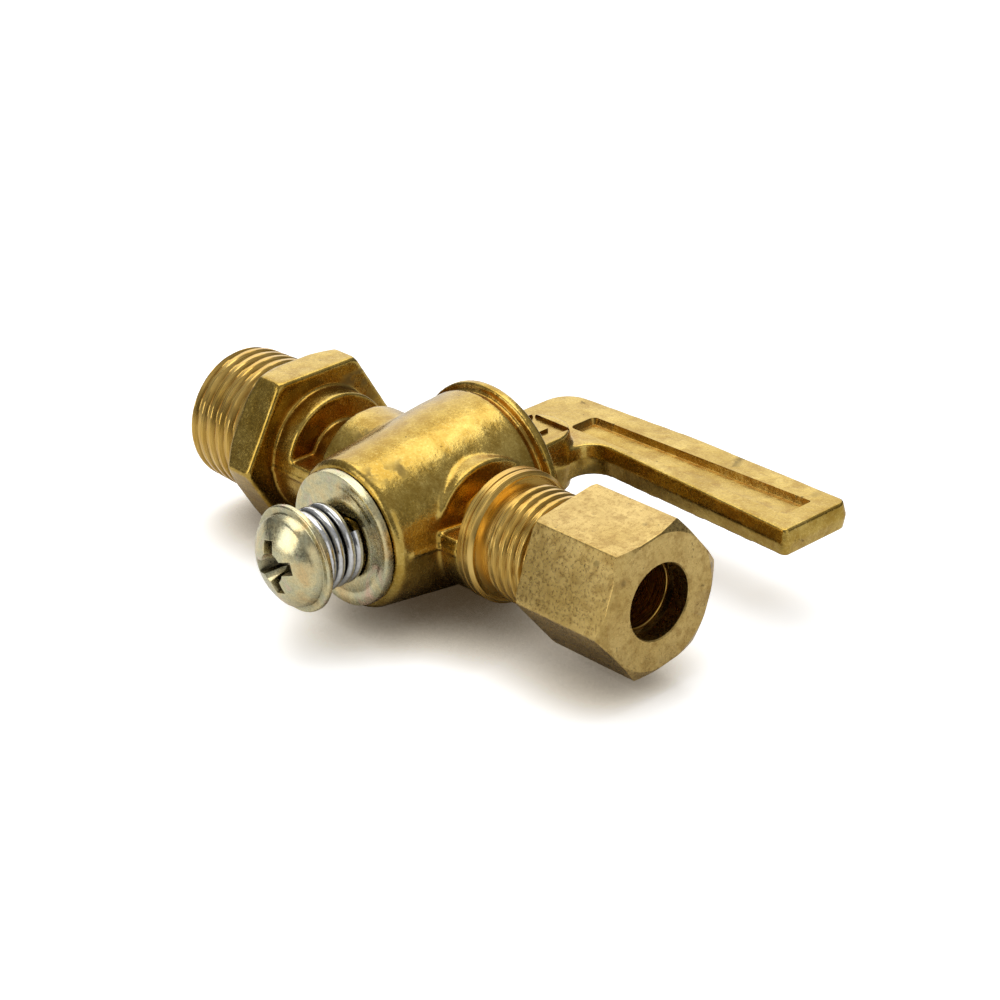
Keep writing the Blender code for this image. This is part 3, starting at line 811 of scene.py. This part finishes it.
def make_pipe_end():
    """The taper pipe thread, from the hex to the chamfered end, with its bore."""
    chamfer = 0.75 * MM
    profile = [
        (PIPE_THREAD_START, PIPE_BORE_RADIUS),
        (PIPE_THREAD_START, pipe_radius(PIPE_THREAD_START)),
        (PIPE_END, pipe_radius(PIPE_END)),
        (PIPE_END, PIPE_BORE_RADIUS + 0.4 * MM),
        (PIPE_END + 0.4 * MM, PIPE_BORE_RADIUS),
    ]
    profile = dense(profile, 1, 2, PIPE_THREAD_PITCH / 16)

    def wobble(position, radius, angle):
        phase = (position - PIPE_END) / PIPE_THREAD_PITCH - angle / TURN
        runout = np.clip((PIPE_THREAD_START - position) / (1.2 * PIPE_THREAD_PITCH) + 0.1, 0.0, 1.0)
        cut = radius - PIPE_THREAD_DEPTH * runout * thread_wave(phase)
        limit = pipe_radius(position) - np.clip(chamfer - (position - PIPE_END), 0.0, None)
        outside = radius > PIPE_BORE_RADIUS + 1.0 * MM
        return np.where(outside, np.minimum(cut, limit), radius)

    return lathe("pipe_thread", profile, "X", 160, wobble)


def make_collar():
    """The turned collar behind the tube thread, stepped finely on its face and edge, and its lower band."""
    centre = RUN_BORE_RADIUS + 0.1 * MM
    profile = [
        (COLLAR_FAR, centre),
        (COLLAR_FAR, COLLAR_RADIUS - 0.75 * MM),
        (COLLAR_FAR - 0.12 * MM, COLLAR_RADIUS - 0.55 * MM),
        (COLLAR_FAR - 0.12 * MM, COLLAR_RADIUS - 0.32 * MM),
        (COLLAR_FAR - 0.42 * MM, COLLAR_RADIUS - 0.12 * MM),
        (COLLAR_FAR - 0.48 * MM, COLLAR_RADIUS),
        (COLLAR_FAR - 1.00 * MM, COLLAR_RADIUS),
        (COLLAR_FAR - 1.06 * MM, COLLAR_RADIUS - 0.10 * MM),
        (COLLAR_FAR - 1.16 * MM, COLLAR_RADIUS - 0.10 * MM),
        (COLLAR_FAR - 1.22 * MM, COLLAR_RADIUS),
        (TUBE_POCKET[1] + 0.05 * MM, COLLAR_RADIUS),
        (TUBE_POCKET[1], COLLAR_RADIUS - 0.08 * MM),
        (TUBE_POCKET[1], centre),
    ]
    return lathe("collar", profile, "X", 160)


def make_tube_end():
    """The undercut and the straight tube thread, with the tube's socket inside."""
    lead = 0.6 * MM
    profile = [
        (COLLAR_FAR - 0.6 * MM, TUBE_BORE_RADIUS - 0.3 * MM),
        (COLLAR_FAR - 0.6 * MM, UNDERCUT_RADIUS),
        (TUBE_END, UNDERCUT_RADIUS),
        (TUBE_END, TUBE_CONE_RADIUS),
        (TUBE_END - TUBE_CONE_DEPTH, TUBE_BORE_RADIUS),
        (TUBE_STOP, TUBE_BORE_RADIUS),
        (TUBE_STOP, TUBE_BORE_RADIUS - 0.3 * MM),
    ]
    profile = dense(profile, 1, 2, TUBE_THREAD_PITCH / 16)

    def wobble(position, radius, angle):
        phase = (position - TUBE_THREAD_START) / TUBE_THREAD_PITCH - angle / TURN
        thread = TUBE_THREAD_RADIUS - TUBE_THREAD_DEPTH * thread_wave(phase)
        rise = UNDERCUT_RADIUS + np.clip(position - TUBE_THREAD_START + 0.5 * MM, 0.0, None)
        fall = TUBE_THREAD_RADIUS - np.clip(lead - (TUBE_END - position), 0.0, None)
        shaped = np.minimum(np.minimum(thread, rise), fall)
        start = TUBE_THREAD_START - 0.5 * MM
        shaped = np.where(position < start, UNDERCUT_RADIUS, np.maximum(shaped, 0.0))
        return np.where(radius == UNDERCUT_RADIUS, shaped, radius)

    return lathe("tube_thread", profile, "X", 160, wobble)


# Plug and lever


def make_plug_core():
    """The tapered plug with its port, tail and tapped hole."""
    profile = [
        (PLUG_HEAD_END - 0.5 * MM, 0.0),
        (PLUG_HEAD_END - 0.5 * MM, PLUG_BIG_RADIUS - 0.5 * MM),
        (RIM_FACE, PLUG_BIG_RADIUS),
        (PLUG_SMALL_END, PLUG_SMALL_RADIUS),
        (PLUG_SMALL_END, 0.0),
    ]
    core = lathe("plug_taper", profile, "Y", 96)
    flat = math.asin(TAIL_ACROSS_FLATS / 2 / TAIL_RADIUS)
    outline = arc((0.0, 0.0), TAIL_RADIUS, -flat, flat, 12)
    outline += arc((0.0, 0.0), TAIL_RADIUS, math.pi - flat, math.pi + flat, 12)
    tail = extrusion("tail", outline, 1.2 * MM, "Y")
    tail.data.transform(Matrix.Translation((0.0, TAIL_END + 1.2 * MM, 0.0)))
    boolean(core, tail, "UNION")
    port = [(9 * MM, 0.0), (9 * MM, RUN_BORE_RADIUS), (-9 * MM, RUN_BORE_RADIUS), (-9 * MM, 0.0)]
    boolean(core, lathe("port", port, "X", 64), "DIFFERENCE")
    hole = [
        (TAPPED_HOLE_BOTTOM, 0.0),
        (TAPPED_HOLE_BOTTOM - 1.0 * MM, TAPPED_HOLE_RADIUS),
        (TAIL_END - 1.0 * MM, TAPPED_HOLE_RADIUS),
        (TAIL_END - 1.0 * MM, 0.0),
    ]
    boolean(core, lathe("tapped", hole, "Y", 64), "DIFFERENCE")
    return shade(core, 35)


def lever_outline():
    """The lever from above: its root under the hub, the straight arm and the heel behind the root."""
    corners = [
        (-HUB_HALF_WIDTH + 0.2 * MM, 11.6 * MM, 0.5 * MM),
        (HUB_HALF_WIDTH - 0.2 * MM, 11.6 * MM, 0.5 * MM),
        (HUB_HALF_WIDTH - 0.2 * MM, LEVER_ROOT_NEAR, 2.0 * MM),
        (LEVER_TIP, LEVER_TIP_NEAR, 0.8 * MM),
        (LEVER_TIP, LEVER_FAR - 0.3 * MM, 1.2 * MM),
        (10.0 * MM, LEVER_FAR, 30.0 * MM),
        (LEVER_HEEL, LEVER_FAR - 0.8 * MM, 3.0 * MM),
        (LEVER_HEEL, 16.8 * MM, 1.5 * MM),
    ]
    return round_corners(corners)


def lever_plate():
    """The flat lever. Its underside is deeper towards the root."""
    plate = drafted("plate", lever_outline(), LEVER_HALF_THICKNESS, LEVER_DRAFT)
    for vertex in plate.data.vertices:
        if vertex.co.z < 0.0:
            vertex.co.z -= LEVER_ROOT_EXTRA * (LEVER_TIP - vertex.co.x) / (LEVER_TIP - LEVER_HEEL)
    return plate


def recess_cutter(side):
    """The long recess in one broad face, side being 1 above and -1 below."""
    corners = [
        (RECESS_START, RECESS_NEAR - 0.3 * MM, 0.8 * MM),
        (RECESS_END, RECESS_NEAR, 0.5 * MM),
        (RECESS_END, RECESS_FAR, 0.5 * MM),
        (RECESS_START, RECESS_FAR - 0.6 * MM, 0.8 * MM),
    ]
    cutter = drafted("recess", round_corners(corners), 2 * RECESS_DEPTH, 0.7 * RECESS_DEPTH)
    bevelled(cutter, 0.3 * RECESS_DEPTH, 3, 60)
    extra = 0.0 if side > 0 else LEVER_ROOT_EXTRA
    level = side * (LEVER_HALF_THICKNESS + RECESS_DEPTH)
    tilt = math.atan(extra / (LEVER_TIP - LEVER_HEEL))
    cutter.data.transform(Matrix.Rotation(-tilt, 4, "Y"))
    cutter.data.transform(Matrix.Translation((0.0, 0.0, level - LEVER_TIP * math.tan(tilt))))
    return cutter


def panel_cutter():
    """The shallow panel in the hub's top, round a plain raised bar."""
    top = HUB_HALF_HEIGHT
    panel = block("panel", (-2.5 * MM, 9.4 * MM, top - PANEL_DEPTH), (2.5 * MM, 14.9 * MM, 2 * top))
    bar = block("bar", (-0.8 * MM, 11.0 * MM, 0.0), (0.8 * MM, 13.6 * MM, top - 0.05 * MM))
    return boolean(panel, bar, "DIFFERENCE")


def make_lever():
    """Head, hub and lever as one forging, with its flash line at mid-thickness."""
    head = [
        (PLUG_HEAD_END, 0.0),
        (PLUG_HEAD_END, PLUG_BIG_RADIUS - 0.8 * MM),
        (PLUG_HEAD_END - 0.4 * MM, PLUG_BIG_RADIUS - 0.4 * MM),
        (RIM_FACE + 0.1 * MM, PLUG_BIG_RADIUS - 0.1 * MM),
        (RIM_FACE + 0.1 * MM, 0.0),
    ]
    lever = lathe("lever_forging", head, "Y", 96)
    hub = [(-HUB_HALF_WIDTH, RIM_FACE + 0.4 * MM), (HUB_HALF_WIDTH, RIM_FACE + 0.4 * MM)]
    hub += arc((0.0, HUB_CENTRE), HUB_HALF_WIDTH, 0.0, math.pi, 24)
    boolean(lever, drafted("hub", hub, HUB_HALF_HEIGHT, HUB_DRAFT), "UNION")
    boolean(lever, lever_plate(), "UNION")
    cast(lever, LEVER_VOXEL, LEVER_ROUNDS)
    for cutter in (recess_cutter(1), recess_cutter(-1), panel_cutter()):
        boolean(lever, cutter, "DIFFERENCE")
    return shade(lever, 50)


# Washer, spring and screw


def make_washer():
    """A stamped washer with a rolled top edge, a faint dished ring and a hole with two flats."""
    front = BARREL_SMALL_FACE - GAP - WASHER_THICKNESS
    back = BARREL_SMALL_FACE - 0.08 * MM
    profile = [
        (back, 0.0),
        (back, WASHER_RADIUS - 0.10 * MM),
        (back - 0.12 * MM, WASHER_RADIUS),
        (front + 0.28 * MM, WASHER_RADIUS),
        (front + 0.08 * MM, WASHER_RADIUS - 0.08 * MM),
        (front, WASHER_RADIUS - 0.28 * MM),
        (front, 5.35 * MM),
        (front + 0.06 * MM, 5.20 * MM),
        (front + 0.06 * MM, 5.00 * MM),
        (front, 4.85 * MM),
        (front, 0.0),
    ]
    washer = lathe("washer", profile, "Y", 128)
    flat = math.asin((TAIL_ACROSS_FLATS / 2 + GAP) / (TAIL_RADIUS + GAP))
    outline = arc((0.0, 0.0), TAIL_RADIUS + GAP, -flat, flat, 16)
    outline += arc((0.0, 0.0), TAIL_RADIUS + GAP, math.pi - flat, math.pi + flat, 16)
    cutter = extrusion("keyhole", outline, 1.0 * MM, "Y")
    cutter.data.transform(Matrix.Translation((0.0, (back + front) / 2, 0.0)))
    return shade(boolean(washer, cutter, "DIFFERENCE"), 30)


def make_spring():
    """A left-hand coil with cut wire ends, as a swept mesh."""
    start = BARREL_SMALL_FACE - GAP - WASHER_THICKNESS - SPRING_GAP - WIRE_RADIUS
    end = FLANGE_BACK + SPRING_GAP + WIRE_RADIUS
    count = int(72 * SPRING_TURNS)
    sides = 20
    share = np.arange(count + 1) / count
    rise = share - (1 - CLOSED_PITCH_SHARE) * np.sin(TURN * share) / TURN
    angle = SPRING_START_ANGLE - TURN * SPRING_TURNS * share
    height = start + (end - start) * rise
    outward = np.stack([np.cos(angle), np.zeros_like(angle), np.sin(angle)], axis=1)
    middle = COIL_RADIUS * outward + np.stack([0 * height, height, 0 * height], axis=1)
    along = np.gradient(middle, axis=0)
    along /= np.linalg.norm(along, axis=1, keepdims=True)
    across = np.cross(along, outward)
    points = []
    for i in range(count + 1):
        for j in range(sides):
            a = TURN * j / sides
            points.append(middle[i] + WIRE_RADIUS * (math.cos(a) * outward[i] + math.sin(a) * across[i]))
    faces = [tuple(range(sides)), tuple(range(count * sides, (count + 1) * sides))]
    for i in range(count):
        for j in range(sides):
            k = (j + 1) % sides
            row = i * sides
            faces.append((row + j, row + k, row + sides + k, row + sides + j))
    return new_object("coil_spring", clean_mesh("coil_spring", points, faces), 40)


def cross_cutter():
    """A Phillips recess: two tapered wings at right angles round a tapered core."""
    wings = []
    for turn in (0.0, QUARTER):
        shape = bmesh.new()
        bmesh.ops.create_cube(shape, size=1.0)
        for vertex in shape.verts:
            deep = vertex.co.y > 0
            length = (1.6 if deep else 2.95) * MM
            width = (0.46 if deep else 0.68) * MM
            vertex.co.x = math.copysign(length, vertex.co.x)
            vertex.co.z = math.copysign(width, vertex.co.z)
            vertex.co.y = HEAD_APEX + (2.3 if deep else -0.5) * MM
        mesh = bpy.data.meshes.new("wing")
        shape.to_mesh(mesh)
        shape.free()
        mesh.transform(Matrix.Rotation(-CROSS_ANGLE - turn, 4, "Y"))
        wings.append(new_object("wing", mesh))
    cutter = boolean(wings[0], wings[1], "UNION")
    core = [
        (HEAD_APEX + 2.6 * MM, 0.0),
        (HEAD_APEX + 1.9 * MM, 0.95 * MM),
        (HEAD_APEX - 0.5 * MM, 1.60 * MM),
        (HEAD_APEX - 0.5 * MM, 0.0),
    ]
    return boolean(cutter, lathe("core", core, "Y", 24), "UNION")


def make_screw_head():
    """Flange and dome in one, with the cross recess cut in and its lips softened."""
    front = FLANGE_BACK - FLANGE_THICKNESS
    centre = HEAD_APEX + HEAD_SPHERE_RADIUS
    edge = math.asin(HEAD_RADIUS / HEAD_SPHERE_RADIUS)
    dome = []
    for i in range(25):
        a = edge * (1 - i / 24)
        dome.append((centre - HEAD_SPHERE_RADIUS * math.cos(a), HEAD_SPHERE_RADIUS * math.sin(a)))
    profile = [
        (FLANGE_BACK + 0.05 * MM, 0.0),
        (FLANGE_BACK + 0.05 * MM, 3.0 * MM),
        (FLANGE_BACK, FLANGE_RADIUS - 0.2 * MM),
        (FLANGE_BACK - 0.2 * MM, FLANGE_RADIUS),
        (front + 0.2 * MM, FLANGE_RADIUS),
        *arc((front + 0.2 * MM, FLANGE_RADIUS - 0.2 * MM), 0.2 * MM, QUARTER, math.pi, 5),
        (front, HEAD_RADIUS + 0.12 * MM),
        (front - 0.06 * MM, HEAD_RADIUS + 0.02 * MM),
        *dome[1:],
    ]
    head = lathe("screw_head", profile, "Y", 128)
    boolean(head, cross_cutter(), "DIFFERENCE")
    return shade(bevelled(head, 0.10 * MM, 2, 40), 40)


def make_shank():
    """The screw's threaded shank."""
    profile = [
        (SHANK_END, 0.0),
        (SHANK_END, SHANK_RADIUS),
        (FLANGE_BACK - 0.2 * MM, SHANK_RADIUS),
        (FLANGE_BACK - 0.2 * MM, 0.0),
    ]
    profile = dense(profile, 1, 2, SCREW_PITCH / 14)

    def wobble(position, radius, angle):
        phase = (position - FLANGE_BACK) / SCREW_PITCH - angle / TURN
        point = SHANK_RADIUS - np.clip(0.5 * MM - (SHANK_END - position), 0.0, None)
        return np.minimum(radius - SCREW_THREAD_DEPTH * thread_wave(phase), point)

    return lathe("screw_thread", profile, "Y", 72, wobble)


# Compression nut and ferrule


def make_nut():
    """The hex nut, chamfered at 30 degrees, with its cone and its internal thread."""
    flat = NUT_ACROSS_FLATS / 2
    corner = flat / math.cos(math.pi / 6)
    outline = hexagon_outline(NUT_ACROSS_FLATS, NUT_ANGLE)
    nut = hex_prism("nut_hex", outline, NUT_BACK, NUT_FRONT)
    bevelled(nut, 0.16 * MM, 3)
    slope = math.tan(math.radians(30))
    envelope = [
        (NUT_FRONT, 0.0),
        (NUT_FRONT, flat - 0.05 * MM),
        (NUT_FRONT - (corner - flat + 0.25 * MM) * slope, corner + 0.2 * MM),
        (NUT_BACK + 0.5 * MM, corner + 0.2 * MM),
        (NUT_BACK, corner - 0.45 * MM),
        (NUT_BACK, 0.0),
    ]
    boolean(nut, lathe("envelope", envelope, "X", 192), "INTERSECT")
    boolean(nut, nut_cutter(), "DIFFERENCE")
    return shade(nut, 25)


def nut_cutter():
    """The nut's inside, from its threaded back to the tube's hole in its front."""
    margin = 1.0 * MM
    crest = NUT_THREAD_RADIUS - 0.02 * MM
    profile = [
        (NUT_FRONT + margin, 0.0),
        (NUT_FRONT + margin, NUT_BORE_RADIUS + margin),
        (NUT_FRONT - 0.12 * MM, NUT_BORE_RADIUS),
        (NUT_CONE_END, NUT_BORE_RADIUS),
        (NUT_THREAD_END, crest),
        (NUT_BACK - margin, crest),
        (NUT_BACK - margin, 0.0),
    ]
    profile = dense(profile, 4, 5, TUBE_THREAD_PITCH / 10)

    def wobble(position, radius, angle):
        phase = (position - TUBE_THREAD_START) / TUBE_THREAD_PITCH - angle / TURN
        groove = 0.35 * MM * (1.0 - thread_wave(phase))
        threaded = (radius == crest) & (position > NUT_BACK + 0.3 * MM) & (position < NUT_THREAD_END)
        return np.where(threaded, radius + groove, radius)

    return lathe("nut_inside", profile, "X", 96, wobble)


def make_ferrule():
    """A plain sleeve with a nose at both ends."""
    profile = [
        (FERRULE_FRONT, FERRULE_BORE_RADIUS + 0.05 * MM),
        (FERRULE_FRONT, FERRULE_BORE_RADIUS + 0.22 * MM),
        (FERRULE_FRONT - 0.05 * MM, FERRULE_BORE_RADIUS + 0.28 * MM),
        (FERRULE_FRONT - FERRULE_NOSE, FERRULE_RADIUS - 0.03 * MM),
        (FERRULE_FRONT - FERRULE_NOSE - 0.15 * MM, FERRULE_RADIUS),
        (FERRULE_BACK + FERRULE_NOSE + 0.15 * MM, FERRULE_RADIUS),
        (FERRULE_BACK + FERRULE_NOSE, FERRULE_RADIUS - 0.03 * MM),
        (FERRULE_BACK, FERRULE_BORE_RADIUS + 0.25 * MM),
        (FERRULE_BACK, FERRULE_BORE_RADIUS + 0.05 * MM),
        (FERRULE_BACK + 0.05 * MM, FERRULE_BORE_RADIUS),
        (FERRULE_FRONT - 0.05 * MM, FERRULE_BORE_RADIUS),
    ]
    return lathe("ferrule_sleeve", profile, "X", 128)


# Setting


def make_floor(material):
    """A plain floor just under the body."""
    mesh = bpy.data.meshes.new("floor")
    size = 3.0
    corners = [(-size, -size, 0.0), (size, -size, 0.0), (size, size, 0.0), (-size, size, 0.0)]
    mesh.from_pydata(corners, [], [(0, 1, 2, 3)])
    floor = bpy.data.objects.new("floor", mesh)
    bpy.context.scene.collection.objects.link(floor)
    floor.data.materials.append(material)
    floor.location.z = body_low.z - 0.02 * MM


def area_light(name, place_at, size, power):
    """A soft square light aimed at the object, which shows in its reflections and not to the camera."""
    light = bpy.data.lights.new(name, "AREA")
    light.size = size
    light.energy = power
    obj = bpy.data.objects.new(name, light)
    bpy.context.scene.collection.objects.link(obj)
    obj.location = CROSSING + Vector(place_at)
    obj.rotation_euler = (CROSSING - obj.location).to_track_quat("-Z", "Y").to_euler()
    obj.visible_camera = False


def make_world():
    """Studio surroundings: in reflections dim at the horizon and paler overhead, and to the camera white."""
    world = bpy.data.worlds.new("studio")
    world.use_nodes = True
    tree = world.node_tree
    direction = tree.nodes.new("ShaderNodeTexCoord").outputs["Generated"]
    split = tree.nodes.new("ShaderNodeSeparateXYZ")
    tree.links.new(direction, split.inputs["Vector"])
    fade = tree.nodes.new("ShaderNodeMapRange")
    fade.inputs["From Min"].default_value = -0.05
    fade.inputs["From Max"].default_value = 0.75
    fade.inputs["To Min"].default_value = HORIZON_LIGHT
    fade.inputs["To Max"].default_value = ZENITH_LIGHT
    tree.links.new(split.outputs["Z"], fade.inputs["Value"])
    studio = tree.nodes["Background"]
    tree.links.new(fade.outputs["Result"], studio.inputs["Strength"])
    white = tree.nodes.new("ShaderNodeBackground")
    white.inputs["Color"].default_value = (1.0, 1.0, 1.0, 1.0)
    studio.inputs["Color"].default_value = (1.0, 1.0, 1.0, 1.0)
    mixed = tree.nodes.new("ShaderNodeMixShader")
    seen = tree.nodes.new("ShaderNodeLightPath").outputs["Is Camera Ray"]
    tree.links.new(seen, mixed.inputs["Fac"])
    tree.links.new(studio.outputs["Background"], mixed.inputs[1])
    tree.links.new(white.outputs["Background"], mixed.inputs[2])
    tree.links.new(mixed.outputs["Shader"], tree.nodes["World Output"].inputs["Surface"])
    bpy.context.scene.world = world


def make_camera():
    """The camera, in the place about the crossing and with the turn that the constants give."""
    back = Vector(
        (
            math.sin(CAMERA_AZIMUTH) * math.cos(CAMERA_ELEVATION),
            -math.cos(CAMERA_AZIMUTH) * math.cos(CAMERA_ELEVATION),
            math.sin(CAMERA_ELEVATION),
        )
    )
    level = Vector((math.cos(CAMERA_AZIMUTH), math.sin(CAMERA_AZIMUTH), 0.0))
    upright = back.cross(level)
    right = level * math.cos(CAMERA_ROLL) + upright * math.sin(CAMERA_ROLL)
    up = upright * math.cos(CAMERA_ROLL) - level * math.sin(CAMERA_ROLL)
    camera = bpy.data.cameras.new("camera")
    camera.sensor_width = CAMERA_SENSOR_MM
    camera.lens = CAMERA_LENS_MM
    camera.clip_start = 0.01
    obj = bpy.data.objects.new("camera", camera)
    bpy.context.scene.collection.objects.link(obj)
    turned = Matrix((right, up, back)).transposed().to_4x4()
    obj.matrix_world = Matrix.Translation(CROSSING + Vector(CAMERA_PLACE)) @ turned
    bpy.context.scene.camera = obj


forged = forged_brass()
turned = machined_brass("X")
drawn = nut_brass()
yellow = plated(
    "yellow_zinc",
    (0.70, 0.59, 0.35),
    ((0.74, 0.53, 0.24), (0.76, 0.66, 0.36), (0.56, 0.57, 0.38), (0.80, 0.53, 0.41)),
    "Y",
)
bright = plated(
    "bright_zinc",
    (0.72, 0.72, 0.72),
    ((0.56, 0.57, 0.60), (0.84, 0.84, 0.83), (0.66, 0.64, 0.59)),
    roughness=(0.12, 0.24),
)

place(make_forging(), forged, "body", "valve_body", "forged_brass")
for piece in (make_pipe_end(), make_collar(), make_tube_end()):
    place(piece, turned, "body", "valve_body", "forged_brass")
for piece in (make_plug_core(), make_lever()):
    place(piece, forged, "plug", "plug_lever", "forged_brass")
place(make_washer(), yellow, "plug", "plug_washer", "yellow_zinc")
place(make_screw_head(), yellow, "screw", "plug_screw", "yellow_zinc")
place(make_shank(), yellow, "screw", "plug_screw", "yellow_zinc")
place(make_nut(), drawn, "nut", "compression_nut", "turned_brass")
place(make_ferrule(), turned, "ferrule", "ferrule", "turned_brass")
coil = place(make_spring(), bright, None, "plug_spring", "bright_zinc")
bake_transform(coil)

make_floor(paper_white())
for light in LIGHTS:
    area_light(*light)
make_world()
make_camera()
bpy.context.scene.view_settings.view_transform = "Standard"
